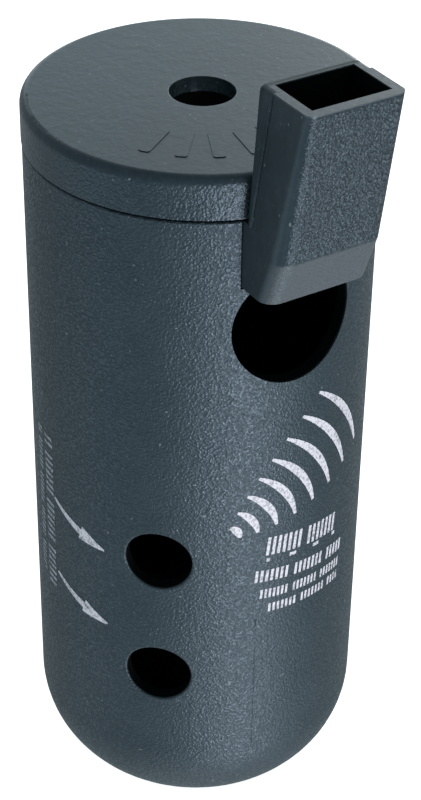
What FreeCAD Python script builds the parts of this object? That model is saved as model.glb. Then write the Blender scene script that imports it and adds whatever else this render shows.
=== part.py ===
import FreeCAD, Part
import math
import os

import Sketcher

# Owl hooter flute, in millimetres. +Z is up, the origin is the centre of the flat disc that the
# barrel stands on, and the mouthpiece and the sound hole face -Y.
#
# The end cap and the three mouthpiece pieces bonded to it pull straight up off the barrel, because
# the mouthpiece's foot sits in a notch in the barrel's rim.

SIZES = {
    # barrel: a tube with one closed, rounded end
    "barrel_radius": (24.9, "outside radius"),
    "barrel_wall": (2.2, "wall and floor thickness"),
    "barrel_height": (110.5, "rim above the base"),
    "base_corner": (16.5, "outside radius of the rounded closed end"),
    "sound_hole_radius": (9.4, "round hole below the mouthpiece"),
    "sound_hole_height": (93.25, "its centre above the base"),
    "finger_hole_radius": (4.9, "either finger hole"),
    "finger_hole_low": (32.7, "lower hole's centre above the base"),
    "finger_hole_gap": (21.4, "from the lower hole's centre to the upper one's"),
    "finger_hole_angle": (45.0, "degrees from the mouthpiece, towards -X"),
    "notch_half_width": (8.4, "rim notch that takes the mouthpiece's foot"),
    "notch_floor": (100.2, "floor of the notch above the base"),
    "rim_break": (0.3, "rounding of the moulded edges of holes and rims"),
    # end cap: a plate, a skirt flush with the barrel and a spigot inside it
    "cap_radius": (25.0, "outside radius"),
    "cap_height": (117.0, "cap's top above the base"),
    "plate_thickness": (2.25, "cap's plate"),
    "skirt_bottom": (110.8, "lower edge of the skirt above the base"),
    "spigot_clearance": (0.06, "radial running fit of the spigot in the barrel"),
    "spigot_wall": (2.0, "spigot's wall"),
    "spigot_bottom": (103.8, "lower edge of the spigot above the base"),
    "tone_hole_radius": (4.65, "hole in the middle of the cap"),
    "cap_edge": (1.2, "rounding of the cap's top edge"),
    "flat_reach": (24.4, "distance from the axis to the flat on the skirt"),
    "flat_half_width": (6.0, "cut that makes the flat"),
    # raised bars on the cap's top
    "bar_length": (7.0, "one raised bar, end to end"),
    "bar_width": (1.7, "one raised bar"),
    "bar_rise": (0.1, "height of the bars above the cap"),
    "bar_ring": (16.0, "distance from the axis to the middle of a bar"),
    "bar_spread": (60.0, "degrees from the first bar to the last"),
    "bar_turn": (-55.0, "degrees from the mouthpiece to the first bar"),
    "bar_corner": (0.5, "rounding of a bar's ends"),
    # mouthpiece: outside
    "mouth_top": (130.3, "top of the mouthpiece above the base"),
    "mouth_knee": (107.5, "level where the front face turns in"),
    "foot_bottom": (100.5, "underside of the foot above the base"),
    "top_front": (35.95, "front face's reach from the axis at the top"),
    "knee_front": (32.1, "front face's reach at the knee"),
    "foot_front": (29.45, "front face's reach at the underside"),
    "top_half_width": (7.35, "half width at the top"),
    "foot_half_width": (8.25, "half width from the knee down"),
    "top_corner": (1.2, "front corner radius at the top"),
    "foot_corner": (2.3, "front corner radius from the knee down"),
    "back_corner": (0.55, "rounding of the upright corners at the back, at the seam"),
    "back_top_corner": (1.25, "rounding of the upright corners at the back, at the top"),
    "back_edge": (0.9, "rounding of the back piece's top edge"),
    # mouthpiece: duct and windway
    "duct_half_width": (5.95, "inside half width"),
    "duct_top_back": (26.2, "back of the opening from the axis"),
    "duct_top_front": (34.4, "front of the opening from the axis"),
    "duct_knee_front": (30.55, "inside of the front face at the knee"),
    "duct_floor_front": (28.45, "inside of the front face at the floor"),
    "shell_floor": (1.4, "thickness of the shell's floor"),
    "slit_front": (25.0, "front of the windway slit from the axis"),
    "slit_back": (23.8, "back of the windway slit from the axis"),
    "slit_top": (105.0, "level where the slit opens into the duct"),
    "throat_back": (25.8, "back of the duct where it starts to narrow"),
    "throat_top": (113.0, "level where the back of the duct starts to narrow"),
    "ramp_front": (31.85, "top of the windway block's ramp from the axis"),
    "ramp_top": (117.0, "top of the ramp above the base"),
    # mouthpiece: joints between its pieces
    "seam_under": (110.4, "top of the part of the foot that lies in the notch"),
    "foot_back": (22.78, "back of the foot from the axis"),
    "back_reach": (24.6, "back face's reach from the axis, above the barrel"),
    "parting_top": (28.1, "back edge of the shell's sides at the top"),
    "parting_bottom": (25.3, "back edge of the shell's sides at the seam"),
    "piece_gap": (0.06, "gap between bonded pieces"),
    "back_proud": (0.22, "how far the back piece stands out past the shell's sides"),
}

CUT_MARGIN = 3.0  # how far a cutting profile runs past the solid that it cuts
SECTION_DEPTH = 0.4  # share of the mouthpiece's reach that its outline runs back, before it's trimmed
BAR_COUNT = 5


class Size:
    """A length together with the sheet expression that gives it."""

    def __init__(self, value, text):
        self.value = value
        self.text = text

    def __add__(self, other):
        return combine(self, "+", other, self.value + number(other))

    def __sub__(self, other):
        return combine(self, "-", other, self.value - number(other))

    def __mul__(self, other):
        return combine(self, "*", other, self.value * number(other))

    def __neg__(self):
        return Size(-self.value, f"-({self.text})")


def number(item):
    """The plain value of a Size or of a number."""
    return item.value if isinstance(item, Size) else item


def combine(left, sign, right, value):
    """The Size of two joined expressions."""
    text = right.text if isinstance(right, Size) else str(right)
    return Size(value, f"({left.text} {sign} {text})")


def make_sheet(doc):
    """Write the driving dimensions into the sheet and return them as Sizes."""
    sheet = doc.addObject("Spreadsheet::Sheet", "Sizes")
    for row, (name, (value, note)) in enumerate(SIZES.items(), start=1):
        sheet.set(f"A{row}", name)
        sheet.set(f"B{row}", str(value))
        sheet.set(f"C{row}", note)
        sheet.setAlias(f"B{row}", name)
    doc.recompute()
    return {name: Size(sheet.get(name), f"Sizes.{name}") for name in SIZES}


def new_body(doc, label):
    """A body whose label is its node's name."""
    body = doc.addObject("PartDesign::Body", label)
    body.Label = label
    return body


def new_sketch(body, name, plane, offset=None, turn=None, axis=FreeCAD.Vector(0, 1, 0)):
    """A sketch on one of the body's own origin planes, raised by offset or turned about its own axis."""
    sketch = body.newObject("Sketcher::SketchObject", name)
    for feature in body.Origin.OriginFeatures:
        if feature.Role == plane:
            sketch.AttachmentSupport = [(feature, "")]
    sketch.MapMode = "FlatFace"
    raised = FreeCAD.Vector(0, 0, number(offset or 0.0))
    turned = FreeCAD.Rotation(axis, number(turn or 0.0))
    sketch.AttachmentOffset = FreeCAD.Placement(raised, turned)
    if offset:
        sketch.setExpression("AttachmentOffset.Base.z", offset.text)
    if turn:
        sketch.setExpression("AttachmentOffset.Rotation.Angle", turn.text)
    return sketch


def bind(sketch, index, size):
    """Tie a sketch constraint to its Size, if it has one."""
    if isinstance(size, Size):
        sketch.setExpression(f"Constraints[{index}]", size.text)


def pin(sketch, item, corner, across, up):
    """Hold a point of a sketch element at a distance across and up from the sketch's origin."""
    for kind, axis, size in (("DistanceX", -2, across), ("DistanceY", -1, up)):
        if number(size) == 0:
            sketch.addConstraint(Sketcher.Constraint("PointOnObject", item, corner, axis))
            continue
        index = sketch.addConstraint(Sketcher.Constraint(kind, -1, 1, item, corner, number(size)))
        bind(sketch, index, size)


def add_circle(sketch, radius, across=0.0, up=0.0):
    """A circle with its centre held from the sketch's origin."""
    centre = FreeCAD.Vector(number(across), number(up), 0)
    circle = sketch.addGeometry(Part.Circle(centre, FreeCAD.Vector(0, 0, 1), radius.value))
    pin(sketch, circle, 3, across, up)
    bind(sketch, sketch.addConstraint(Sketcher.Constraint("Radius", circle, radius.value)), radius)


def add_outline(sketch, corners):
    """A closed outline through corners (across, up) or (across, up, rounding)."""
    points = [FreeCAD.Vector(number(corner[0]), number(corner[1]), 0) for corner in corners]
    roundings = [corner[2] if len(corner) > 2 else None for corner in corners]
    tangents = [corner_tangents(points, index, roundings[index]) for index in range(len(corners))]
    lines = []
    for index in range(len(corners)):
        following = (index + 1) % len(corners)
        edge = Part.LineSegment(tangents[index][1], tangents[following][0])
        lines.append(sketch.addGeometry(edge))
    for index, corner in enumerate(corners):
        before, after = lines[index - 1], lines[index]
        if roundings[index] is None:
            sketch.addConstraint(Sketcher.Constraint("Coincident", before, 2, after, 1))
            pin(sketch, after, 1, corner[0], corner[1])
            continue
        round_corner(sketch, points, index, (before, after), roundings[index])
        mark = sketch.addGeometry(Part.Point(points[index]), True)
        sketch.addConstraint(Sketcher.Constraint("PointOnObject", mark, 1, before))
        sketch.addConstraint(Sketcher.Constraint("PointOnObject", mark, 1, after))
        pin(sketch, mark, 1, corner[0], corner[1])


def corner_tangents(points, index, rounding):
    """Where a corner's rounding leaves the lines before and after it."""
    if rounding is None:
        return points[index], points[index]
    back = (points[index - 1] - points[index]).normalize()
    ahead = (points[(index + 1) % len(points)] - points[index]).normalize()
    half_angle = back.getAngle(ahead) / 2
    reach = rounding.value / math.tan(half_angle)
    return points[index] + back * reach, points[index] + ahead * reach


def round_corner(sketch, points, index, lines, rounding):
    """Add the tangent arc of one corner between its two lines."""
    start, end = corner_tangents(points, index, rounding)
    bisector = (start + end) * 0.5 - points[index]
    reach = (start - points[index]).Length
    from_corner = math.hypot(reach, rounding.value)
    centre = points[index] + bisector.normalize() * from_corner
    middle = centre + (points[index] - centre).normalize() * rounding.value
    arc = Part.Arc(start, middle, end)
    left_turn = (start - centre).cross(end - centre).z > 0
    item = sketch.addGeometry(arc)
    near, far = (1, 2) if left_turn else (2, 1)
    sketch.addConstraint(Sketcher.Constraint("Tangent", lines[0], 2, item, near))
    sketch.addConstraint(Sketcher.Constraint("Tangent", item, far, lines[1], 1))
    radius = sketch.addConstraint(Sketcher.Constraint("Radius", item, rounding.value))
    bind(sketch, radius, rounding)


def add_feature(body, kind, name, sketch):
    """A feature of the body that takes its profile from a sketch."""
    feature = body.newObject(f"PartDesign::{kind}", name)
    feature.Profile = sketch
    sketch.Visibility = False
    return feature


def revolve(body, name, sketch):
    """Turn a profile once round the Z axis."""
    feature = add_feature(body, "Revolution", name, sketch)
    feature.ReferenceAxis = (sketch, ["V_Axis"])
    feature.Angle = 360.0


def extrude(body, kind, name, sketch, length, symmetric=False, reverse=False):
    """Pad or pocket a profile and return the feature."""
    feature = add_feature(body, kind, name, sketch)
    feature.SideType = "Symmetric" if symmetric else "One side"
    feature.Length = number(length)
    feature.Reversed = reverse
    if isinstance(length, Size):
        feature.setExpression("Length", length.text)
    return feature


def cut(body, name, sketch, length, symmetric=False, reverse=False):
    """Pocket a profile and make sure that it took some of the material away, and not all of it."""
    body.Document.recompute()
    before = body.Shape.Volume
    extrude(body, "Pocket", name, sketch, length, symmetric, reverse)
    body.Document.recompute()
    after = body.Shape.Volume
    if after < 0.01 or after > before - 0.01:
        raise RuntimeError(f"{name} leaves {after} of {before}")


def loft(body, name, sketches):
    """Join sections with straight-sided walls."""
    feature = add_feature(body, "AdditiveLoft", name, sketches[0])
    feature.Sections = sketches[1:]
    feature.Ruled = True


def round_edges(body, name, size, wanted):
    """Round the edges of the body's last solid that the test picks."""
    body.Document.recompute()
    base = body.Tip
    names = [f"Edge{index}" for index, edge in enumerate(base.Shape.Edges, start=1) if wanted(edge)]
    if not names:
        raise RuntimeError(f"{name} finds no edges")
    feature = body.newObject("PartDesign::Fillet", name)
    feature.Base = (base, names)
    feature.Radius = size.value
    feature.setExpression("Radius", size.text)


def make_barrel(doc, size):
    """The resonating tube: one closed end, sound hole, two finger holes and the rim's notch."""
    body = new_body(doc, "barrel")
    outer, wall, corner = size["barrel_radius"], size["barrel_wall"], size["base_corner"]
    rim = size["barrel_height"]
    profile = new_sketch(body, "BarrelProfile", "XZ_Plane")
    add_outline(profile, [
        (0.0, 0.0),
        (outer, 0.0, corner),
        (outer, rim),
        (outer - wall, rim),
        (outer - wall, wall, corner - wall),
        (0.0, wall),
    ])
    revolve(body, "BarrelTube", profile)
    cut_sound_hole(body, size)
    cut_notch(body, size)
    cut_finger_holes(body, size)
    break_barrel_edges(body, size)
    return body


def cut_sound_hole(body, size):
    """The round hole whose lower edge splits the breath."""
    sketch = new_sketch(body, "SoundHoleProfile", "XZ_Plane")
    add_circle(sketch, size["sound_hole_radius"], 0.0, size["sound_hole_height"])
    cut(body, "SoundHole", sketch, size["barrel_radius"] + CUT_MARGIN, reverse=True)


def cut_notch(body, size):
    """The straight-sided notch from the rim down to the sound hole."""
    half, floor = size["notch_half_width"], size["notch_floor"]
    above = size["barrel_height"] + CUT_MARGIN
    sketch = new_sketch(body, "NotchProfile", "XZ_Plane")
    add_outline(sketch, [(-half, floor), (half, floor), (half, above), (-half, above)])
    cut(body, "RimNotch", sketch, size["barrel_radius"] + CUT_MARGIN, reverse=True)


def cut_finger_holes(body, size):
    """Two finger holes, one above the other, round to the -X side of the sound hole."""
    sketch = new_sketch(body, "FingerHoleProfile", "XZ_Plane", turn=-size["finger_hole_angle"])
    add_circle(sketch, size["finger_hole_radius"], 0.0, size["finger_hole_low"])
    high = size["finger_hole_low"] + size["finger_hole_gap"]
    add_circle(sketch, size["finger_hole_radius"], 0.0, high)
    cut(body, "FingerHoles", sketch, size["barrel_radius"] + CUT_MARGIN, reverse=True)


def break_barrel_edges(body, size):
    """Round the outer edges of the rim and of the two finger holes."""
    outer = size["barrel_radius"].value
    half_turn = size["finger_hole_radius"].value * math.pi
    rim = size["barrel_height"].value

    def on_outside(edge):
        return all(abs(math.hypot(v.X, v.Y) - outer) < 0.01 for v in edge.Vertexes)

    def wanted(edge):
        box = edge.BoundBox
        below_sound_hole = box.ZMax < size["sound_hole_height"].value - size["sound_hole_radius"].value
        above_base = box.ZMin > size["base_corner"].value + 1.0
        hole_edge = below_sound_hole and above_base and edge.Length > half_turn
        rim_edge = box.ZMin > rim - 0.01 and edge.Length > outer
        return on_outside(edge) and (hole_edge or rim_edge)

    round_edges(body, "BarrelEdges", size["rim_break"], wanted)


def make_end_cap(doc, size):
    """The cap: plate with the tone hole, skirt with a flat for the mouthpiece, and spigot."""
    body = new_body(doc, "end_cap")
    top, hole = size["cap_height"], size["tone_hole_radius"]
    spigot = size["barrel_radius"] - size["barrel_wall"] - size["spigot_clearance"]
    inside = spigot - size["spigot_wall"]
    under = top - size["plate_thickness"]
    profile = new_sketch(body, "CapProfile", "XZ_Plane")
    add_outline(profile, [
        (hole, under),
        (inside, under),
        (inside, size["spigot_bottom"]),
        (spigot, size["spigot_bottom"]),
        (spigot, size["skirt_bottom"]),
        (size["cap_radius"], size["skirt_bottom"]),
        (size["cap_radius"], top, size["cap_edge"]),
        (hole, top),
    ])
    revolve(body, "CapTurning", profile)
    cut_skirt_flat(body, size)
    raise_bars(body, size)
    return body


def cut_skirt_flat(body, size):
    """The flat on the skirt that the mouthpiece's back is bonded to."""
    half, reach = size["flat_half_width"], size["flat_reach"]
    beyond = size["cap_radius"] + CUT_MARGIN
    sketch = new_sketch(body, "FlatProfile", "XY_Plane", offset=size["skirt_bottom"] - CUT_MARGIN)
    add_outline(sketch, [(-half, -beyond), (half, -beyond), (half, -reach), (-half, -reach)])
    height = size["cap_height"] - size["skirt_bottom"] + 2 * CUT_MARGIN
    cut(body, "SkirtFlat", sketch, height, reverse=True)


def raise_bars(body, size):
    """A fan of low raised bars on the cap's top, on the side of the finger holes."""
    ring, corner = size["bar_ring"], size["bar_corner"]
    half_length, half_width = size["bar_length"] * 0.5, size["bar_width"] * 0.5
    sunk = size["cap_height"] - size["bar_rise"]
    sketch = new_sketch(body, "BarProfile", "XY_Plane", sunk, size["bar_turn"], FreeCAD.Vector(0, 0, 1))
    add_outline(sketch, [
        (-half_width, -(ring + half_length), corner),
        (half_width, -(ring + half_length), corner),
        (half_width, -(ring - half_length), corner),
        (-half_width, -(ring - half_length), corner),
    ])
    pad = extrude(body, "Pad", "RaisedBar", sketch, size["bar_rise"] * 2)
    pattern = body.newObject("PartDesign::PolarPattern", "RaisedBars")
    pattern.Originals = [pad]
    pattern.Axis = (sketch, ["N_Axis"])
    pattern.Occurrences = BAR_COUNT
    pattern.Angle = size["bar_spread"].value
    pattern.setExpression("Angle", size["bar_spread"].text)
    body.Tip = pattern


def mouth_section(body, name, level, half, front, corner):
    """One level outline of the mouthpiece, open-ended towards the barrel's axis."""
    back = -(front - front * SECTION_DEPTH)
    sketch = new_sketch(body, name, "XY_Plane", offset=level)
    add_outline(sketch, [(half, back), (-half, back), (-half, -front, corner), (half, -front, corner)])
    return sketch


def make_mouthpiece_shell(doc, size):
    """The mouthpiece's front, two sides and floor, with its foot in the barrel's notch."""
    body = new_body(doc, "mouthpiece_shell")
    wide, corner = size["foot_half_width"], size["foot_corner"]
    sections = [
        mouth_section(body, "FootSection", size["foot_bottom"], wide, size["foot_front"], corner),
        mouth_section(body, "KneeSection", size["mouth_knee"], wide, size["knee_front"], corner),
        mouth_section(body, "TopSection", size["mouth_top"], size["top_half_width"],
                      size["top_front"], size["top_corner"]),
    ]
    loft(body, "ShellOutside", sections)
    cut_shell_back(body, size)
    cut_shell_duct(body, size)
    return body


def cut_shell_back(body, size):
    """Trim the shell to the leaning parting line above the seam and to a cylinder in the notch."""
    above, seam = size["mouth_top"] + CUT_MARGIN, size["seam_under"]
    lean = size["parting_top"] - size["parting_bottom"]
    rise = size["mouth_top"] - seam
    slope = lean.value / rise.value
    top_back = size["parting_top"] + size["piece_gap"] + CUT_MARGIN * round(slope, 4)
    parting = new_sketch(body, "PartingProfile", "YZ_Plane")
    add_outline(parting, [
        (0.0, seam),
        (-(size["parting_bottom"] + size["piece_gap"]), seam),
        (-top_back, above),
        (0.0, above),
    ])
    cut(body, "PartingFace", parting, size["foot_half_width"] * 2 + CUT_MARGIN, symmetric=True)
    bore = new_sketch(body, "FootBackProfile", "XY_Plane", offset=size["foot_bottom"] - CUT_MARGIN)
    add_circle(bore, size["foot_back"])
    cut(body, "FootBack", bore, size["mouth_top"] - size["foot_bottom"], reverse=True)


def cut_shell_duct(body, size):
    """Hollow the shell: the duct, and the slot in its floor that the windway leaves by."""
    above, below = size["mouth_top"] + CUT_MARGIN, size["foot_bottom"] - CUT_MARGIN
    floor = size["foot_bottom"] + size["shell_floor"]
    slope = (size["duct_top_front"].value - size["duct_knee_front"].value) / (
        size["mouth_top"].value - size["mouth_knee"].value)
    sketch = new_sketch(body, "DuctProfile", "YZ_Plane")
    add_outline(sketch, [
        (0.0, below),
        (-size["slit_front"], below),
        (-size["slit_front"], floor),
        (-size["duct_floor_front"], floor),
        (-size["duct_knee_front"], size["mouth_knee"]),
        (-(size["duct_top_front"] + CUT_MARGIN * round(slope, 4)), above),
        (0.0, above),
    ])
    cut(body, "Duct", sketch, size["duct_half_width"] * 2, symmetric=True)


def make_mouthpiece_back(doc, size):
    """The wedge behind the duct, with the lip that makes the back of the windway."""
    body = new_body(doc, "mouthpiece_back")
    proud, rear = size["back_proud"], size["back_reach"]
    levels = (
        ("CheekSeamSection", size["seam_under"], size["foot_half_width"], size["parting_bottom"],
         size["back_corner"]),
        ("CheekTopSection", size["mouth_top"], size["top_half_width"], size["parting_top"],
         size["back_top_corner"]),
    )
    sections = []
    for name, level, half, front, corner in levels:
        sketch = new_sketch(body, name, "XY_Plane", offset=level)
        wide = half + proud
        add_outline(sketch, [
            (wide, -rear, corner),
            (-wide, -rear, corner),
            (-wide, -front),
            (wide, -front),
        ])
        sections.append(sketch)
    loft(body, "Cheeks", sections)
    cut_back_duct(body, size)
    add_back_plug(body, size)
    round_back_edge(body, size)
    return body


def cut_back_duct(body, size):
    """Open the wedge in front of the duct's back wall."""
    above = size["mouth_top"] + CUT_MARGIN
    front = size["parting_top"] + CUT_MARGIN
    sketch = new_sketch(body, "BackDuctProfile", "YZ_Plane")
    add_outline(sketch, [
        (-size["throat_back"], size["throat_top"]),
        (-front, size["throat_top"]),
        (-front, above),
        (-size["duct_top_back"], above),
        (-size["duct_top_back"], size["mouth_top"]),
    ])
    cut(body, "BackDuct", sketch, size["duct_half_width"] * 2, symmetric=True)


def add_back_plug(body, size):
    """The tongue between the shell's sides: the duct's back wall, and the lip in the notch."""
    top, seam = size["mouth_top"], size["seam_under"]
    rear, lip, low = size["back_reach"], size["slit_back"], size["foot_bottom"]
    sketch = new_sketch(body, "TongueProfile", "YZ_Plane")
    add_outline(sketch, [
        (-rear, top),
        (-rear, seam),
        (-size["foot_back"], seam),
        (-size["foot_back"], low),
        (-lip, low),
        (-lip, size["slit_top"]),
        (-size["throat_back"], size["throat_top"]),
        (-size["duct_top_back"], top),
    ])
    width = (size["duct_half_width"] - size["piece_gap"]) * 2
    extrude(body, "Pad", "Tongue", sketch, width, symmetric=True)


def round_back_edge(body, size):
    """Round the top edge along the rear face and down both sides."""
    top, rear = size["mouth_top"].value, size["back_reach"].value
    side = size["top_half_width"].value + size["back_proud"].value

    def outside(vertex):
        return vertex.Y > -rear - 0.01 or abs(vertex.X) > side - 0.01

    def wanted(edge):
        return edge.BoundBox.ZMin > top - 0.01 and all(outside(vertex) for vertex in edge.Vertexes)

    round_edges(body, "BackEdge", size["back_edge"], wanted)


def make_windway_block(doc, size):
    """The block on the shell's floor that narrows the duct to the windway slit."""
    body = new_body(doc, "windway_block")
    gap = size["piece_gap"]
    bottom = size["foot_bottom"] + size["shell_floor"] + gap
    sketch = new_sketch(body, "BlockProfile", "YZ_Plane")
    add_outline(sketch, [
        (-size["slit_front"], bottom),
        (-size["slit_front"], size["slit_top"]),
        (-size["ramp_front"], size["ramp_top"]),
        (-(size["duct_knee_front"] - gap), size["mouth_knee"]),
        (-(size["duct_floor_front"] - gap), bottom),
    ])
    width = (size["duct_half_width"] - gap) * 2
    extrude(body, "Pad", "Ramp", sketch, width, symmetric=True)
    return body


def check(doc, bodies):
    """Stop if a feature failed or a body's shape is unsound."""
    for item in doc.Objects:
        if "Invalid" in item.State or "Error" in item.State:
            raise RuntimeError(f"{item.Label} failed: {item.State}")
    for body in bodies:
        if body.Shape.isNull() or not body.Shape.isValid() or len(body.Shape.Solids) != 1:
            raise RuntimeError(f"{body.Label} isn't one sound solid")


def main():
    """Build the call and write one STEP file for each piece."""
    doc = FreeCAD.newDocument("OwlHooter")
    size = make_sheet(doc)
    bodies = [
        make_barrel(doc, size),
        make_end_cap(doc, size),
        make_mouthpiece_shell(doc, size),
        make_mouthpiece_back(doc, size),
        make_windway_block(doc, size),
    ]
    doc.recompute()
    check(doc, bodies)
    os.makedirs("parts", exist_ok=True)
    for body in bodies:
        body.Shape.exportStep(f"parts/{body.Label}.step")
        print(body.Label, round(body.Shape.Volume, 1))


main()
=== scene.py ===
"""Owl hooter flute: the finishes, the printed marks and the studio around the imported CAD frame.

The call is charcoal plastic. Its barrel and the mouthpiece's front have a spark-eroded grain, its
cap's top and the mouthpiece's sides are smooth, and its marks are printed in white ink.
"""

import logging
import math
from dataclasses import dataclass
from enum import Enum
from typing import Any, Callable, Iterable

import bpy
from mathutils import Matrix, Vector


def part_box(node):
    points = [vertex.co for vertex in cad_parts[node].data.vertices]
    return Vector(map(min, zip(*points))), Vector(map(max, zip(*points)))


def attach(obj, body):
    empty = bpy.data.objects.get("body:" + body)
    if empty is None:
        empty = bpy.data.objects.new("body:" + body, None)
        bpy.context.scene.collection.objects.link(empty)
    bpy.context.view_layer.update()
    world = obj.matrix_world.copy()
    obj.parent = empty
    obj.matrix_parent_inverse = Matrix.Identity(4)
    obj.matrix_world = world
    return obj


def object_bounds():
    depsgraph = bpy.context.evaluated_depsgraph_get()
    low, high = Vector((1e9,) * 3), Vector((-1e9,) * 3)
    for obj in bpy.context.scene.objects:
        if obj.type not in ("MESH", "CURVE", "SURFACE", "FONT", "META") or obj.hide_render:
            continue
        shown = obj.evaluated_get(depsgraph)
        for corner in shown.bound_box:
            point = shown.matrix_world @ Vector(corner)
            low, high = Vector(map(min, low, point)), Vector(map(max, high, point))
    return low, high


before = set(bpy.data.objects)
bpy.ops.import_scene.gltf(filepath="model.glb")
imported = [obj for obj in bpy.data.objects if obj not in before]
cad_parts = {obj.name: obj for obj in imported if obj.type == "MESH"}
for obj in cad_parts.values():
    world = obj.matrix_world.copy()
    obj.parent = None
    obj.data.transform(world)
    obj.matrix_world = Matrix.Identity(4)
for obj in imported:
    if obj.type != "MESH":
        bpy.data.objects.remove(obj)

CAD_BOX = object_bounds()

log = logging.getLogger("owl_hooter")

MM = 0.001

BARREL_BODY = "barrel"

Colour = tuple[float, float, float, float]


class Ink(Enum):
    """The two states of the printed ink, with the names of their materials."""

    FRESH = "white_ink"
    WORN = "worn_ink"


# ---------------------------------------------------------------------------------------------
# Shader building
# ---------------------------------------------------------------------------------------------


class Value:
    """A socket that carries a number, with arithmetic that adds Math nodes."""

    def __init__(self, sheet: "Sheet", socket: bpy.types.NodeSocket) -> None:
        """Wrap a socket.

        Args:
            sheet: the material's node sheet.
            socket: the output socket that holds the number.
        """
        self.sheet = sheet
        self.socket = socket

    def _with(self, operation: str, first: Any, second: Any) -> "Value":
        """Add a Math node.

        Args:
            operation: the Math node's operation.
            first: its first input, a Value or a number.
            second: its second input, a Value or a number.

        Returns:
            The node's result.
        """
        return self.sheet.value("ShaderNodeMath", {"operation": operation}, {0: first, 1: second})

    def __add__(self, other: Any) -> "Value":
        """Sum."""
        return self._with("ADD", self, other)

    def __radd__(self, other: Any) -> "Value":
        """Sum, reflected."""
        return self._with("ADD", other, self)

    def __sub__(self, other: Any) -> "Value":
        """Difference."""
        return self._with("SUBTRACT", self, other)

    def __rsub__(self, other: Any) -> "Value":
        """Difference, reflected."""
        return self._with("SUBTRACT", other, self)

    def __mul__(self, other: Any) -> "Value":
        """Product."""
        return self._with("MULTIPLY", self, other)

    def __rmul__(self, other: Any) -> "Value":
        """Product, reflected."""
        return self._with("MULTIPLY", other, self)

    def between(self, low: float, high: float) -> "Value":
        """Rise smoothly from 0 at low to 1 at high.

        Args:
            low: the value that gives 0.
            high: the value that gives 1, which may be the smaller one.

        Returns:
            The smoothed mask.
        """
        return self.sheet.value(
            "ShaderNodeMapRange",
            {"interpolation_type": "SMOOTHSTEP", "clamp": True},
            {"Value": self, "From Min": low, "From Max": high, "To Min": 0.0, "To Max": 1.0},
        )


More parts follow.
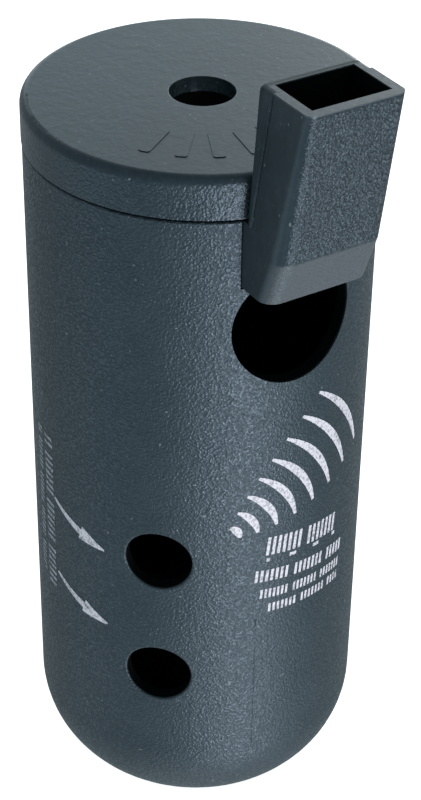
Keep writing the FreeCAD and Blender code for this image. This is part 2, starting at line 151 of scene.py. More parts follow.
class Sheet:
    """The node sheet of one material."""

    def __init__(self, name: str) -> None:
        """Make the material with nothing but its output.

        Args:
            name: the material's name.
        """
        self.material = bpy.data.materials.new(name)
        self.material.use_nodes = True
        self.tree = self.material.node_tree
        self.tree.nodes.clear()
        self.output = self.tree.nodes.new("ShaderNodeOutputMaterial")

    def node(self, kind: str, settings: dict[str, Any], inputs: dict[Any, Any]) -> bpy.types.Node:
        """Add a node, set it up and feed it.

        Args:
            kind: the node's type.
            settings: its properties, set first.
            inputs: a value, socket or Value for each input socket, by name or number.

        Returns:
            The node.
        """
        node = self.tree.nodes.new(kind)
        for name, setting in settings.items():
            setattr(node, name, setting)
        for key, item in inputs.items():
            self.feed(node.inputs[key], item)
        return node

    def feed(self, socket: bpy.types.NodeSocket, item: Any) -> None:
        """Link a socket or set its value.

        Args:
            socket: the input socket.
            item: a Value, an output socket or a plain value.
        """
        source = item.socket if isinstance(item, Value) else item
        if isinstance(source, bpy.types.NodeSocket):
            self.tree.links.new(source, socket)
        else:
            socket.default_value = source

    def value(self, kind: str, settings: dict[str, Any], inputs: dict[Any, Any],
              output: Any = 0) -> Value:
        """Add a node and return one of its outputs as a Value.

        Args:
            kind: the node's type.
            settings: its properties.
            inputs: its inputs.
            output: the output socket's name or number.

        Returns:
            The output, ready for arithmetic.
        """
        return Value(self, self.node(kind, settings, inputs).outputs[output])

    def place(self) -> bpy.types.NodeSocket:
        """Object coordinates in metres."""
        return self.node("ShaderNodeTexCoord", {}, {}).outputs["Object"]

    def axes(self, place: bpy.types.NodeSocket) -> tuple[Value, Value, Value]:
        """The three coordinates of a place as Values."""
        split = self.node("ShaderNodeSeparateXYZ", {}, {0: place})
        return tuple(Value(self, socket) for socket in split.outputs)

    def noise(self, place: Any, size: float, detail: float = 2.0, roughness: float = 0.5) -> Value:
        """Smooth noise from 0 to 1.

        Args:
            place: the coordinates.
            size: the width of one lump, in metres.
            detail: octaves of finer noise.
            roughness: strength of the finer octaves.

        Returns:
            The noise.
        """
        inputs = {"Vector": place, "Scale": 1.0 / size, "Detail": detail, "Roughness": roughness}
        return self.value("ShaderNodeTexNoise", {}, inputs)

    def cells(self, place: Any, size: float) -> Value:
        """Distance from the middle of random cells, about 0 to 1.

        Args:
            place: the coordinates.
            size: the width of one cell, in metres.

        Returns:
            The distance.
        """
        inputs = {"Vector": place, "Scale": 1.0 / size, "Randomness": 1.0}
        return self.value("ShaderNodeTexVoronoi", {"feature": "SMOOTH_F1"}, inputs, "Distance")

    def blend(self, share: Any, first: Any, second: Any) -> bpy.types.NodeSocket:
        """Mix two colours.

        Args:
            share: how much of the second colour, 0 to 1.
            first: a colour.
            second: a colour.

        Returns:
            The mixed colour's socket.
        """
        mix = self.node("ShaderNodeMix", {"data_type": "RGBA"}, {0: share, 6: first, 7: second})
        return mix.outputs[2]

    def relief(self, height: Value, depth: float) -> bpy.types.NodeSocket:
        """Turn a height into a bumped normal.

        Args:
            height: the height, about 0 to 1.
            depth: the size of a height of 1, in metres.

        Returns:
            The normal's socket.
        """
        inputs = {"Strength": 1.0, "Distance": depth, "Height": height}
        return self.node("ShaderNodeBump", {}, inputs).outputs["Normal"]

    def reach(self, place: bpy.types.NodeSocket) -> Value:
        """Distance of a place from the Z axis."""
        across = (1.0, 1.0, 0.0)
        flat = self.node("ShaderNodeVectorMath", {"operation": "MULTIPLY"}, {0: place, 1: across})
        inputs = {0: flat.outputs[0]}
        return self.value("ShaderNodeVectorMath", {"operation": "LENGTH"}, inputs, "Value")

    def shader(self, inputs: dict[str, Any]) -> bpy.types.NodeSocket:
        """Add a Principled shader.

        Args:
            inputs: the shader's inputs.

        Returns:
            The shader's socket.
        """
        return self.node("ShaderNodeBsdfPrincipled", {}, inputs).outputs[0]

    def finish(self, surface: bpy.types.NodeSocket) -> bpy.types.Material:
        """Close the sheet.

        Args:
            surface: the shader's socket.

        Returns:
            The material.
        """
        self.tree.links.new(surface, self.output.inputs["Surface"])
        return self.material


# ---------------------------------------------------------------------------------------------
# Finishes
# ---------------------------------------------------------------------------------------------


@dataclass(frozen=True)
class Plastic:
    """The moulded plastic that all the pieces share: its colours and the size of its grain."""

    body: Colour = (0.010, 0.018, 0.022, 1.0)
    pale: Colour = (0.045, 0.060, 0.070, 1.0)
    sheen_tint: Colour = (0.62, 0.83, 1.0, 1.0)
    # Painted shade colour for the bores' walls.
    painted_bore_shade: Colour = (0.0015, 0.0025, 0.003, 1.0)
    # Pale colour for sparse random specks.
    stray_speck: Colour = (0.12, 0.14, 0.15, 1.0)
    dome: float = 0.38 * MM
    fine: float = 0.27 * MM
    speck: float = 0.55 * MM

    def grain(self, sheet: Sheet, place: bpy.types.NodeSocket, coarse: float = 1.0) -> Value:
        """The height of a spark-eroded surface, about 0 to 1.

        Args:
            sheet: the material's sheet.
            place: object coordinates.
            coarse: how much larger than usual the lumps are.

        Returns:
            The height.
        """
        domes = 1.0 - sheet.cells(place, self.dome * coarse)
        peaks = sheet.noise(place, self.fine * coarse, 1.0, 0.5)
        return domes * 0.55 + peaks * 0.45

    def tone(self, sheet: Sheet, height: Value, mottle: Value,
             share: float) -> bpy.types.NodeSocket:
        """The plastic's colour: paler on the grain's peaks as a painted highlight, in cloudy
        patches of random tone and on stray pale specks.

        Args:
            sheet: the material's sheet.
            height: the grain's height.
            mottle: slow noise.
            share: how far the painted highlight takes the peaks towards the pale colour.

        Returns:
            The colour's socket.
        """
        specks = sheet.noise(sheet.place(), self.speck, 0.0).between(0.80, 0.88)
        # The peaks' paleness is a painted highlight; the slow patches are random tone.
        mask = height.between(0.46, 0.72) * share + mottle.between(0.35, 0.7) * 0.10
        return sheet.blend(specks, sheet.blend(mask, self.body, self.pale), self.stray_speck)

    def paint_bore_shade(self, sheet: Sheet, inner: Value,
               outside: bpy.types.NodeSocket) -> bpy.types.NodeSocket:
        """Add painted shade to a shader: the bores' walls, the same plastic as the rest, are
        painted near-black and barely reflective.

        Args:
            sheet: the material's sheet.
            inner: where the surface is an inner one.
            outside: the shader of the outside.

        Returns:
            The mixed shader's socket.
        """
        # Painted shade: the bores' walls are near-black and barely reflective.
        shaded_bore = sheet.shader({
            "Base Color": self.painted_bore_shade,
            "Roughness": 0.8,
            "Specular IOR Level": 0.05,
        })
        return sheet.node("ShaderNodeMixShader", {}, {0: inner, 1: outside, 2: shaded_bore}).outputs[0]


@dataclass(frozen=True)
class BarrelFinish:
    """Grain all over the barrel, with its bore painted near-black as shade."""

    plastic: Plastic = Plastic()
    depth: float = 0.18 * MM
    base_corner: float = 16.5 * MM
    peaks: float = 0.28
    gloss: float = 0.27
    pits: float = 0.26

    def make(self, radius: float) -> bpy.types.Material:
        """Build the material.

        Args:
            radius: the barrel's outside radius.

        Returns:
            The material.
        """
        sheet = Sheet("barrel_grain")
        place = sheet.place()
        height = self.plastic.grain(sheet, place)
        mottle = sheet.noise(place, 7.0 * MM, 3.0)
        outside = sheet.shader({
            "Base Color": self.plastic.tone(sheet, height, mottle, self.peaks),
            "Roughness": self.gloss + mottle * 0.06 + height.between(0.72, 0.46) * self.pits,
            "Specular Tint": self.plastic.sheen_tint,
            "Normal": sheet.relief(height, self.depth),
        })
        # The bore takes painted shade.
        inner = sheet.reach(place).between(radius - 0.12 * MM, radius - 0.45 * MM)
        _, _, level = sheet.axes(place)
        inner = inner * level.between(self.base_corner + 1.0 * MM, self.base_corner + 2.0 * MM)
        return sheet.finish(self.plastic.paint_bore_shade(sheet, inner, outside))


@dataclass(frozen=True)
class CapFinish:
    """A smooth top with faint swells, and grain on the skirt below its rounded edge."""

    plastic: Plastic = Plastic()
    depth: float = 0.19 * MM
    edge: float = 1.2 * MM
    hole: float = 4.65 * MM
    rim: float = 24.0 * MM
    peaks: float = 0.28
    gloss: float = 0.28
    swell: float = 0.18
    wrinkle: float = 0.14

    def make(self, top: float) -> bpy.types.Material:
        """Build the material.

        Args:
            top: the level of the cap's plate.

        Returns:
            The material.
        """
        sheet = Sheet("cap_smooth")
        place = sheet.place()
        _, _, level = sheet.axes(place)
        skirt = level.between(top - 0.25 * self.edge, top - 1.4 * self.edge)
        height = self.plastic.grain(sheet, place)
        swells = sheet.noise(place, 2.2 * MM, 3.0, 0.6)
        wrinkles = sheet.noise(place, 0.8 * MM, 3.0, 0.65)
        relief = height * skirt + (swells * self.swell + wrinkles * self.wrinkle) * (1.0 - skirt)
        mottle = sheet.noise(place, 9.0 * MM, 3.0)
        reach = sheet.reach(place)
        hole_wall = reach.between(self.hole + 0.06 * MM, self.hole + 0.03 * MM)
        texture = height * skirt + wrinkles * (1.0 - skirt)
        roughness = self.gloss + mottle * 0.10 + wrinkles * 0.08 + skirt * 0.02
        outside = sheet.shader({
            "Base Color": self.plastic.tone(sheet, texture, mottle, self.peaks),
            "Roughness": roughness * (1.0 - hole_wall * 0.8),
            "Specular Tint": self.plastic.sheen_tint,
            "Normal": sheet.relief(relief * (1.0 - hole_wall), self.depth),
        })
        # The cap's underside takes painted shade.
        below = level.between(top - 0.1 * MM, top - 0.4 * MM)
        inner = below * reach.between(self.rim, self.rim - 0.4 * MM) * (1.0 - hole_wall)
        return sheet.finish(self.plastic.paint_bore_shade(sheet, inner, outside))


@dataclass(frozen=True)
class MouthpieceShape:
    """The mouthpiece's levels and the reach of its front face, measured from the axis."""

    top: float
    top_reach: float
    knee: float = 107.5 * MM
    knee_reach: float = 32.1 * MM
    foot: float = 100.5 * MM
    foot_reach: float = 29.45 * MM
    duct_half_width: float = 5.95 * MM
    wall: float = 1.5 * MM
    rear: float = 24.6 * MM


@dataclass(frozen=True)
class MouthpieceFinish:
    """Coarse grain on the leaning front face with painted shade in its pits and painted glints on
    its peaks, the chamfer below it and the top rim painted paler as a highlight, smooth dark sides,
    and a duct painted near-black as shade.
    """

    plastic: Plastic = Plastic()
    # Painted glints on the grain's peaks take the fleck colour; painted shade in its pits takes the
    # pit colour.
    fleck: Colour = (0.125, 0.15, 0.165, 1.0)
    painted_pit_shade: Colour = (0.002, 0.004, 0.006, 1.0)
    # Painted highlight colour for the chamfer and the top rim.
    painted_light_band: Colour = (0.062, 0.072, 0.077, 1.0)
    depth: float = 0.26 * MM
    coarse: float = 0.9
    scuff: float = 0.22
    gloss: float = 0.38

    def behind(self, level: Value, along: Value, low: tuple[float, float],
               high: tuple[float, float]) -> Value:
        """How far a place is behind a leaning plane of the front.

        Args:
            level: the place's level.
            along: the place's Y.
            low: level and reach of the plane's lower edge.
            high: level and reach of its upper edge.

        Returns:
            The distance along Y.
        """
        slope = (high[1] - low[1]) / (high[0] - low[0])
        return level * slope + (low[1] - slope * low[0]) + along

    def make(self, shape: MouthpieceShape) -> bpy.types.Material:
        """Build the material.

        Args:
            shape: the mouthpiece's levels and reaches.

        Returns:
            The material.
        """
        sheet = Sheet("mouthpiece_grain")
        place = sheet.place()
        _, along, level = sheet.axes(place)
        knee, top = (shape.knee, shape.knee_reach), (shape.top, shape.top_reach)
        behind_face = self.behind(level, along, knee, top)
        behind_band = self.behind(level, along, (shape.foot, shape.foot_reach), knee)
        grained = behind_face.between(0.55 * MM, 0.12 * MM)
        grained = grained * level.between(shape.knee - 0.1 * MM, shape.knee + 0.5 * MM)
        grained = grained * level.between(shape.top - 0.2 * MM, shape.top - 0.7 * MM)
        banded = behind_band.between(1.9 * MM, 0.3 * MM)
        banded = banded * level.between(shape.knee + 0.3 * MM, shape.knee - 0.3 * MM)
        height = self.plastic.grain(sheet, place, self.coarse)
        scuffs = sheet.noise(place, 1.4 * MM, 4.0, 0.7)
        relief = height * (grained + banded * 0.5) + scuffs * (1.0 - grained) * self.scuff
        rim = level.between(shape.top - 0.3 * MM, shape.top - 0.1 * MM)
        rear = along.between(-(shape.rear + 2.0 * MM), -(shape.rear + 1.0 * MM))
        mottle = sheet.noise(place, 6.0 * MM, 3.0)
        plain = self.plastic.tone(sheet, scuffs, mottle, 0.25)
        # Painted highlight: the chamfer below the face and the top rim are painted paler than the
        # plastic, for the light that falls on them.
        pale = sheet.value("ShaderNodeMath", {"operation": "MAXIMUM"}, {0: banded, 1: rim})
        painted_light_tone = sheet.blend(pale * (0.25 + height * 1.1), plain, self.painted_light_band)
        # Painted shade in the grain's pits and painted glints on its peaks, for how light falls on
        # the grain.
        painted_pit_tone = sheet.blend(height.between(0.56, 0.44) * grained * 0.8, painted_light_tone, self.painted_pit_shade)
        painted_glints = height.between(0.55, 0.74) * grained * 0.50
        outside = sheet.shader({
            "Base Color": sheet.blend(painted_glints, painted_pit_tone, self.fleck),
            "Roughness": self.gloss + mottle * 0.08 + grained * 0.04 + rear * 0.3,
            "Specular Tint": self.plastic.sheen_tint,
            "Normal": sheet.relief(relief, self.depth),
        })
        # The duct takes painted shade.
        return sheet.finish(self.plastic.paint_bore_shade(sheet, self.duct(sheet, place, shape), outside))

    def duct(self, sheet: Sheet, place: bpy.types.NodeSocket, shape: MouthpieceShape) -> Value:
        """Where the surface lies within the duct, which takes the painted bore shade.

        Args:
            sheet: the material's sheet.
            place: object coordinates.
            shape: the mouthpiece's levels and reaches.

        Returns:
            The mask.
        """
        across, along, level = sheet.axes(place)
        side = sheet.value("ShaderNodeMath", {"operation": "ABSOLUTE"}, {0: across})
        half = shape.duct_half_width
        knee, top = (shape.knee, shape.knee_reach), (shape.top, shape.top_reach)
        behind = self.behind(level, along, knee, top)
        inner = side.between(half + 0.15 * MM, half + 0.05 * MM)
        inner = inner * level.between(shape.top - 0.03 * MM, shape.top - 0.3 * MM)
        inner = inner * behind.between(0.5 * shape.wall, 0.8 * shape.wall)
        inner = inner * along.between(-(shape.rear + 0.3 * MM), -(shape.rear + 0.7 * MM))
        return inner * level.between(shape.knee, shape.knee + 0.4 * MM)


@dataclass(frozen=True)
class InkFinish:
    """White pad-printed ink that misses the deepest pits of the grain."""

    ink: Colour = (0.56, 0.57, 0.62, 1.0)
    plastic: Plastic = Plastic()
    worn: float = 0.5
    depth: float = 0.05 * MM

    def make(self, name: str) -> bpy.types.Material:
        """Build the material.

        Args:
            name: the material's name.

        Returns:
            The material.
        """
        sheet = Sheet(name)
        place = sheet.place()
        height = self.plastic.grain(sheet, place)
        patches = sheet.noise(place, 1.3 * MM, 3.0, 0.6)
        missing = height.between(0.56, 0.42) * self.worn + patches.between(0.46, 0.30) * self.worn
        return sheet.finish(sheet.shader({
            "Base Color": sheet.blend(missing, self.ink, self.plastic.pale),
            "Roughness": 0.55 + patches * 0.2,
            "Normal": sheet.relief(height, self.depth),
        }))


INK_FINISHES = {
    Ink.FRESH: InkFinish(worn=0.45),
    Ink.WORN: InkFinish(ink=(0.32, 0.34, 0.38, 1.0), worn=0.7),
}


@dataclass(frozen=True)
class FloorFinish:
    """A matt white sweep that glows a little, so that it stays evenly white."""

    white: Colour = (0.93, 0.93, 0.93, 1.0)
    glow: float = 0.95

    def make(self) -> bpy.types.Material:
        """Build the material.

        Returns:
            The material.
        """
        sheet = Sheet("studio_floor")
        fleck = sheet.noise(sheet.place(), 4.0 * MM, 2.0)
        colour = sheet.blend(fleck * 0.02, self.white, (0.86, 0.86, 0.86, 1.0))
        return sheet.finish(sheet.shader({
            "Base Color": colour,
            "Roughness": 0.9,
            "Emission Color": self.white,
            "Emission Strength": self.glow,
        }))


# ---------------------------------------------------------------------------------------------
# Modelling help
# ---------------------------------------------------------------------------------------------


def only(piece: bpy.types.Object) -> None:
    """Select one object and make it active."""
    bpy.ops.object.select_all(action="DESELECT")
    piece.select_set(True)
    bpy.context.view_layer.objects.active = piece


def apply_modifiers(piece: bpy.types.Object) -> None:
    """Apply an object's modifiers in order."""
    only(piece)
    for name in [modifier.name for modifier in piece.modifiers]:
        bpy.ops.object.modifier_apply(modifier=name)


def dress(piece: bpy.types.Object, finish: bpy.types.Material) -> None:
    """Give a piece one material all over."""
    piece.data.materials.clear()
    piece.data.materials.append(finish)
    for face in piece.data.polygons:
        face.material_index = 0


def on_barrel(piece: bpy.types.Object, finish: bpy.types.Material) -> bpy.types.Object:
    """Finish a new piece and fix it to the barrel.

    Args:
        piece: the piece.
        finish: its material.

    Returns:
        The piece.
    """
    dress(piece, finish)
    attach(piece, BARREL_BODY)
    return piece


@dataclass(frozen=True)
class Wrap:
    """The barrel's surface unrolled: a distance round from the front, and a level."""

    radius: float
    lift: float = 0.012 * MM

    def at(self, point: Vector) -> Vector:
        """A point on the barrel.

        Args:
            point: its distance round from the mouthpiece's side, towards +X, and its level.

        Returns:
            The point in space.
        """
        angle = point.x / self.radius
        reach = self.radius + self.lift
        return Vector((reach * math.sin(angle), -reach * math.cos(angle), point.y))

    def flat(self, place: tuple[float, float]) -> Vector:
        """A point of the unrolled surface.

        Args:
            place: its angle from the mouthpiece's side in degrees, and its level.

        Returns:
            Its distance round and its level.
        """
        return Vector((math.radians(place[0]) * self.radius, place[1]))


@dataclass(frozen=True)
class Stroke:
    """One printed stroke: a centre line and a width along it, on the unrolled surface."""

    line: Callable[[float], Vector]
    width: Callable[[float], float]
    steps: int = 12
    thickness: float = 0.03 * MM

    def draw(self, wrap: Wrap) -> bpy.types.Object:
        """Make the stroke as a thin skin.

        Args:
            wrap: the surface that it lies on.

        Returns:
            The stroke's object.
        """
        bpy.ops.object.select_all(action="DESELECT")
        bpy.ops.mesh.primitive_grid_add(x_subdivisions=self.steps, y_subdivisions=2, size=1.0)
        piece = bpy.context.object
        for vertex in piece.data.vertices:
            vertex.co = wrap.at(self.point(vertex.co.x + 0.5, vertex.co.y))
        skin = piece.modifiers.new("skin", "SOLIDIFY")
        skin.thickness = self.thickness
        skin.offset = 1.0
        apply_modifiers(piece)
        return piece

    def point(self, share: float, side: float) -> Vector:
        """A point of the stroke.

        Args:
            share: how far along it, 0 to 1.
            side: how far across it, -0.5 to 0.5.

        Returns:
            Its place on the unrolled surface.
        """
        step = 0.001
        ahead = self.line(share + step) - self.line(share - step)
        across = Vector((-ahead.y, ahead.x)).normalized()
        return self.line(share) + across * (side * self.width(share))


def join(pieces: list[bpy.types.Object], name: str) -> bpy.types.Object:
    """Join pieces into one object.

    Args:
        pieces: what to join.
        name: the joined object's name.

    Returns:
        The object.
    """
    only(pieces[0])
    for piece in pieces:
        piece.select_set(True)
    bpy.ops.object.join()
    joined = bpy.context.object
    joined.name = name
    return joined


# ---------------------------------------------------------------------------------------------
# Sub-assemblies
# ---------------------------------------------------------------------------------------------


@dataclass(frozen=True)
class Arrow:
    """A bowed arrow: a shaft that widens and a long barbed head.

    The neck is the shaft's share of the arrow, and the head overlaps its end.
    """

    name: str
    tail: tuple[float, float]
    tip: tuple[float, float]
    bow: float = 0.42 * MM
    neck: float = 0.60
    shaft: tuple[float, float] = (0.52 * MM, 1.24 * MM)
    head: tuple[float, float] = (2.6 * MM, 0.35 * MM)
    overlap: float = 0.02
    ink: Ink = Ink.FRESH

    def draw(self, wrap: Wrap) -> bpy.types.Object:
        """Print the arrow.

        Args:
            wrap: the unrolled barrel.

        Returns:
            The arrow.
        """
        start, end = wrap.flat(self.tail), wrap.flat(self.tip)

        def line(share: float) -> Vector:
            """The arrow's bowed centre line."""
            return start.lerp(end, share) - Vector((0.0, self.bow * math.sin(math.pi * share)))

        def widths(pair: tuple[float, float]) -> Callable[[float], float]:
            """A width that runs evenly from the first number to the second."""
            return lambda share: pair[0] + (pair[1] - pair[0]) * share

        barb = self.neck - self.overlap
        shaft = Stroke(lambda share: line(share * self.neck), widths(self.shaft), 16)
        head = Stroke(lambda share: line(barb + share * (1.0 - barb)), widths(self.head), 12)
        return join([head.draw(wrap), shaft.draw(wrap)], self.name)


@dataclass(frozen=True)
class Waves:
    """Sound waves: nested arcs that fan out up and to the right."""

    name: str = "printed_waves"
    centre: tuple[float, float] = (-23.0, 58.5 * MM)
    reaches: tuple[float, ...] = (
        2.3 * MM, 5.0 * MM, 8.0 * MM, 11.2 * MM, 14.6 * MM, 18.2 * MM, 22.0 * MM, 26.0 * MM)
    heading: float = 37.0
    spread: float = 33.0
    taper: float = 2.0
    width: float = 1.25 * MM
    ink: Ink = Ink.FRESH

    def draw(self, wrap: Wrap) -> bpy.types.Object:
        """Print the waves.

        Args:
            wrap: the unrolled barrel.

        Returns:
            The waves.
        """
        arcs = [self.arc(wrap.flat(self.centre), number) for number in range(len(self.reaches))]
        return join([arc.draw(wrap) for arc in arcs], self.name)

    def arc(self, centre: Vector, number: int) -> Stroke:
        """One wave, widest in the middle.

        Args:
            centre: the waves' shared centre.
            number: which wave, counted from the centre.

        Returns:
            Its stroke.
        """
        heading, reach = math.radians(self.heading), self.reaches[number]
        spread = math.radians(self.spread - self.taper * number)

        def line(share: float) -> Vector:
            """The arc."""
            turn = heading + spread * (2.0 * share - 1.0)
            return centre + Vector((math.cos(turn), math.sin(turn))) * reach

        def width(share: float) -> float:
            """The stroke's width, which shrinks to a third at the ends."""
            return self.width * (0.35 + 0.65 * math.sin(math.pi * min(max(share, 0.0), 1.0)))

        return Stroke(line, width, 28)


@dataclass(frozen=True)
class DashRow:
    """A straight row of short dashes that stand across it, in groups, or one unbroken rule."""

    name: str
    start: tuple[float, float]
    end: tuple[float, float]
    tall: float
    count: int
    cover: float = 0.55
    group: int = 8
    ink: Ink = Ink.FRESH

    def draw(self, wrap: Wrap) -> bpy.types.Object:
        """Print the row.

        Args:
            wrap: the unrolled barrel.

        Returns:
            The row.
        """
        numbers = [number for number in range(self.count) if number % self.group != self.group - 1]
        return join([self.dash(wrap, number).draw(wrap) for number in numbers], self.name)

    def dash(self, wrap: Wrap, number: int) -> Stroke:
        """One dash.

        Args:
            wrap: the unrolled barrel.
            number: its place in the row.

        Returns:
            Its stroke.
        """
        start, end = wrap.flat(self.start), wrap.flat(self.end)

        def line(share: float) -> Vector:
            """The dash's own stretch of the row."""
            return start.lerp(end, (number + share * self.cover) / self.count)

        return Stroke(line, lambda share: self.tall, 3)


@dataclass(frozen=True)
class PrintedMarks:
    """The barrel's marks: two arrows, sound waves, a panel of dash rows and two worn columns."""

    marks: tuple[Arrow | Waves | DashRow, ...] = (
        Arrow("arrow_upper", (-89.4, 57.4 * MM), (-64.8, 53.4 * MM)),
        Arrow("arrow_lower", (-88.6, 43.7 * MM), (-63.9, 39.7 * MM)),
        Waves(),
        DashRow("dashes_title", (-8.0, 56.0 * MM), (23.0, 54.6 * MM), 3.2 * MM, 15),
        DashRow("rule_under_title", (-8.0, 53.5 * MM), (22.7, 52.4 * MM), 0.6 * MM, 1, 1.0),
        DashRow("dashes_second", (-12.0, 50.8 * MM), (28.0, 49.0 * MM), 2.1 * MM, 21),
        DashRow("dashes_third", (-10.0, 47.3 * MM), (28.5, 45.9 * MM), 1.6 * MM, 24),
        DashRow("dashes_fourth", (-6.8, 44.4 * MM), (26.6, 43.6 * MM), 1.5 * MM, 20),
        DashRow("column_near", (-93.0, 40.0 * MM), (-93.0, 68.0 * MM), 2.4 * MM, 26, ink=Ink.WORN),
        DashRow("column_far", (-100.0, 41.0 * MM), (-100.0, 68.0 * MM), 1.5 * MM, 34, ink=Ink.WORN),
    )

    def build(self, wrap: Wrap) -> list[bpy.types.Object]:
        """Print every mark.

        Args:
            wrap: the unrolled barrel.

        Returns:
            The printed pieces.
        """
        inks = {state: finish.make(state.value) for state, finish in INK_FINISHES.items()}
        return [on_barrel(mark.draw(wrap), inks[mark.ink]) for mark in self.marks]


@dataclass(frozen=True)
class Barrel:
    """The barrel: its CAD node in grained plastic, its faint parting line and its printed marks."""

    node: str = "barrel"
    parting_angle: float = -11.1
    parting_levels: tuple[float, float] = (17.0 * MM, 42.6 * MM)
    parting_width: float = 0.18 * MM
    parting_rise: float = 0.09 * MM

    def build(self) -> list[bpy.types.Object]:
        """Dress the node, raise the parting line and print the marks.

        Returns:
            The barrel's pieces.
        """
        low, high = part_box(self.node)
        radius = (high.x - low.x) / 2.0
        finish = BarrelFinish().make(radius)
        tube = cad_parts[self.node]
        dress(tube, finish)
        ridge = on_barrel(self.parting_line(Wrap(radius, 0.0)), finish)
        return [tube, ridge, *PrintedMarks().build(Wrap(radius))]

    def parting_line(self, wrap: Wrap) -> bpy.types.Object:
        """The fine upright ridge that the mould's halves leave.

        Args:
            wrap: the unrolled barrel.

        Returns:
            The ridge.
        """
        foot, head = (wrap.flat((self.parting_angle, level)) for level in self.parting_levels)
        ridge = Stroke(
            line=lambda share: foot.lerp(head, share),
            width=lambda share: self.parting_width,
            steps=4,
            thickness=self.parting_rise,
        )
        piece = ridge.draw(wrap)
        piece.name = "parting_line"
        return piece


@dataclass(frozen=True)
class Cap:
    """The end cap, smooth on top and grained round its skirt."""

    node: str = "end_cap"
    bar_rise: float = 0.1 * MM

    def build(self) -> list[bpy.types.Object]:
        """Dress the node.

        Returns:
            The cap's pieces.
        """
        _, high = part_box(self.node)
        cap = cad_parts[self.node]
        dress(cap, CapFinish().make(high.z - self.bar_rise))
        return [cap]


@dataclass(frozen=True)
class Mouthpiece:
    """The mouthpiece: shell, back and windway block."""

    nodes: tuple[str, ...] = ("mouthpiece_shell", "mouthpiece_back", "windway_block")

    def build(self) -> list[bpy.types.Object]:
        """Dress the three nodes.

        Returns:
            The mouthpiece's pieces.
        """
        low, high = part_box(self.nodes[0])
        finish = MouthpieceFinish().make(MouthpieceShape(high.z, -low.y))
        pieces = [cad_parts[name] for name in self.nodes]
        for piece in pieces:
            dress(piece, finish)
        return pieces


# ---------------------------------------------------------------------------------------------
# Studio
# ---------------------------------------------------------------------------------------------


def towards(azimuth: float, elevation: float) -> Vector:
    """The direction of an azimuth (from -Y towards +X) and an elevation, both in degrees.

    Args:
        azimuth: the angle round the object.
        elevation: the angle above the floor.

    Returns:
        A unit vector.
    """
    turn, rise = math.radians(azimuth), math.radians(elevation)
    flat = math.cos(rise)
    return Vector((math.sin(turn) * flat, -math.cos(turn) * flat, math.sin(rise)))


@dataclass(frozen=True)
class Softbox:
    """An area light aimed at the middle of the call."""

    name: str
    azimuth: float
    elevation: float
    width: float
    height: float
    power: float
    colour: tuple[float, float, float] = (1.0, 1.0, 1.0)
    distance: float = 1.0

    def place(self, target: Vector) -> None:
        """Hang the light.

        Args:
            target: the point that it faces.
        """
        data = bpy.data.lights.new(self.name, "AREA")
        data.shape = "RECTANGLE"
        data.size = self.width
        data.size_y = self.height
        data.energy = self.power
        data.color = self.colour
        lamp = bpy.data.objects.new(self.name, data)
        bpy.context.scene.collection.objects.link(lamp)
        direction = towards(self.azimuth, self.elevation)
        lamp.location = target + direction * self.distance
        lamp.rotation_euler = direction.to_track_quat("Z", "Y").to_euler()


@dataclass(frozen=True)
class Viewpoint:
    """The camera's place and aim."""

    azimuth: float = -32.0
    distance: float = 256.96 * MM
    level: float = 242.04 * MM
    pitch: float = 34.432
    yaw: float = 0.398
    roll: float = 0.952
    lens: float = 93.2

    def place(self) -> None:
        """Make the camera and use it."""
        data = bpy.data.cameras.new("camera")
        data.lens = self.lens
        data.sensor_width = 36.0
        data.clip_start = 0.01
        data.clip_end = 20.0
        camera = bpy.data.objects.new("camera", data)
        bpy.context.scene.collection.objects.link(camera)
        flat = towards(self.azimuth, 0.0)
        heading = Matrix.Rotation(math.radians(-self.yaw), 3, "Z") @ -flat
        right = heading.cross(Vector((0.0, 0.0, 1.0))).normalized()
        tilt = math.radians(self.pitch)
        forward = heading * math.cos(tilt) - Vector((0.0, 0.0, math.sin(tilt)))
        up = right.cross(forward)
        lean = math.radians(self.roll)
        across = right * math.cos(lean) + up * math.sin(lean)
        upward = up * math.cos(lean) - right * math.sin(lean)
        turned = Matrix((across, upward, -forward)).transposed().to_4x4()
        stand = flat * self.distance + Vector((0.0, 0.0, self.level))
        camera.matrix_world = Matrix.Translation(stand) @ turned
        bpy.context.scene.camera = camera


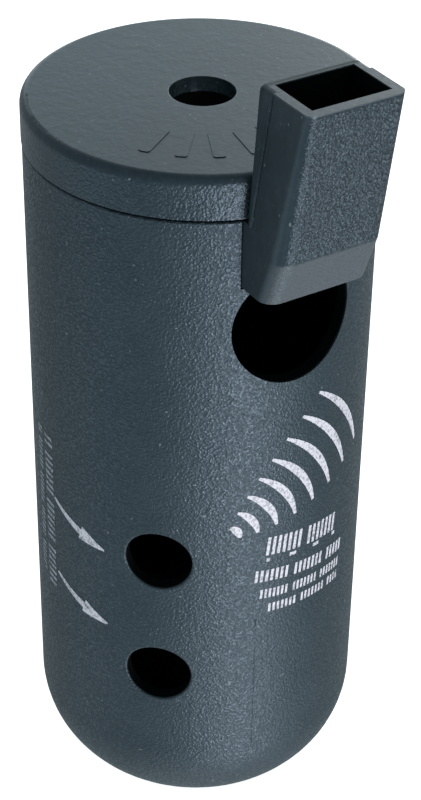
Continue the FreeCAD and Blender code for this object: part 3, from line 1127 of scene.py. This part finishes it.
@dataclass(frozen=True)
class Studio:
    """White floor, soft lights and camera."""

    surround: float = 0.50
    surround_colour: Colour = (0.82, 0.95, 1.0, 1.0)
    floor_width: float = 28.0
    lights: tuple[Softbox, ...] = (
        Softbox("bounce_card", -3.0, -28.0, 0.36, 0.6, 10.6, (1.0, 0.95, 0.98)),
        Softbox("back", 148.0, 14.0, 0.9, 0.6, 2.1, (0.80, 0.94, 1.0)),
        Softbox("warm_side", 118.0, 20.0, 0.7, 0.8, 4.8, (1.0, 0.92, 0.86)),
        Softbox("low_left", -106.0, -36.0, 0.5, 0.4, 0.75, (0.78, 0.93, 1.0)),
        Softbox("low_right", 28.0, -40.0, 0.4, 0.4, 0.6),
        Softbox("under", -32.0, -72.0, 0.6, 0.6, 0.8),
    )

    def build(self) -> None:
        """Set up the studio."""
        self.lay_floor()
        self.light_surround()
        target = Vector((0.0, 0.0, (CAD_BOX[0][2] + CAD_BOX[1][2]) / 2.0))
        for light in self.lights:
            light.place(target)
        Viewpoint().place()

    def lay_floor(self) -> None:
        """A large white floor with its level at the call's base.

        The call is lit from low down through it, as a bounce card would do, so the floor takes no
        shadow and throws no light of its own.
        """
        bpy.ops.object.select_all(action="DESELECT")
        bpy.ops.mesh.primitive_plane_add(size=self.floor_width, location=(0.0, 0.0, 0.0))
        floor = bpy.context.object
        floor.name = "floor"
        dress(floor, FloorFinish().make())
        floor.visible_diffuse = False
        floor.visible_glossy = False
        floor.visible_shadow = False

    def light_surround(self) -> None:
        """An even white surround."""
        world = bpy.data.worlds.new("surround")
        world.use_nodes = True
        sky = world.node_tree.nodes["Background"]
        sky.inputs["Color"].default_value = self.surround_colour
        sky.inputs["Strength"].default_value = self.surround
        bpy.context.scene.world = world


def report(pieces: Iterable[bpy.types.Object]) -> None:
    """Log each piece's name and face count."""
    for piece in pieces:
        log.info("%s: %d faces", piece.name, len(piece.data.polygons))


def main() -> None:
    """Build the call's looks and the studio."""
    logging.basicConfig(level=logging.INFO, format="%(name)s %(message)s")
    bpy.context.scene.view_settings.view_transform = "Standard"
    for assembly in (Barrel(), Cap(), Mouthpiece()):
        report(assembly.build())
    Studio().build()


if __name__ == "__main__":
    main()
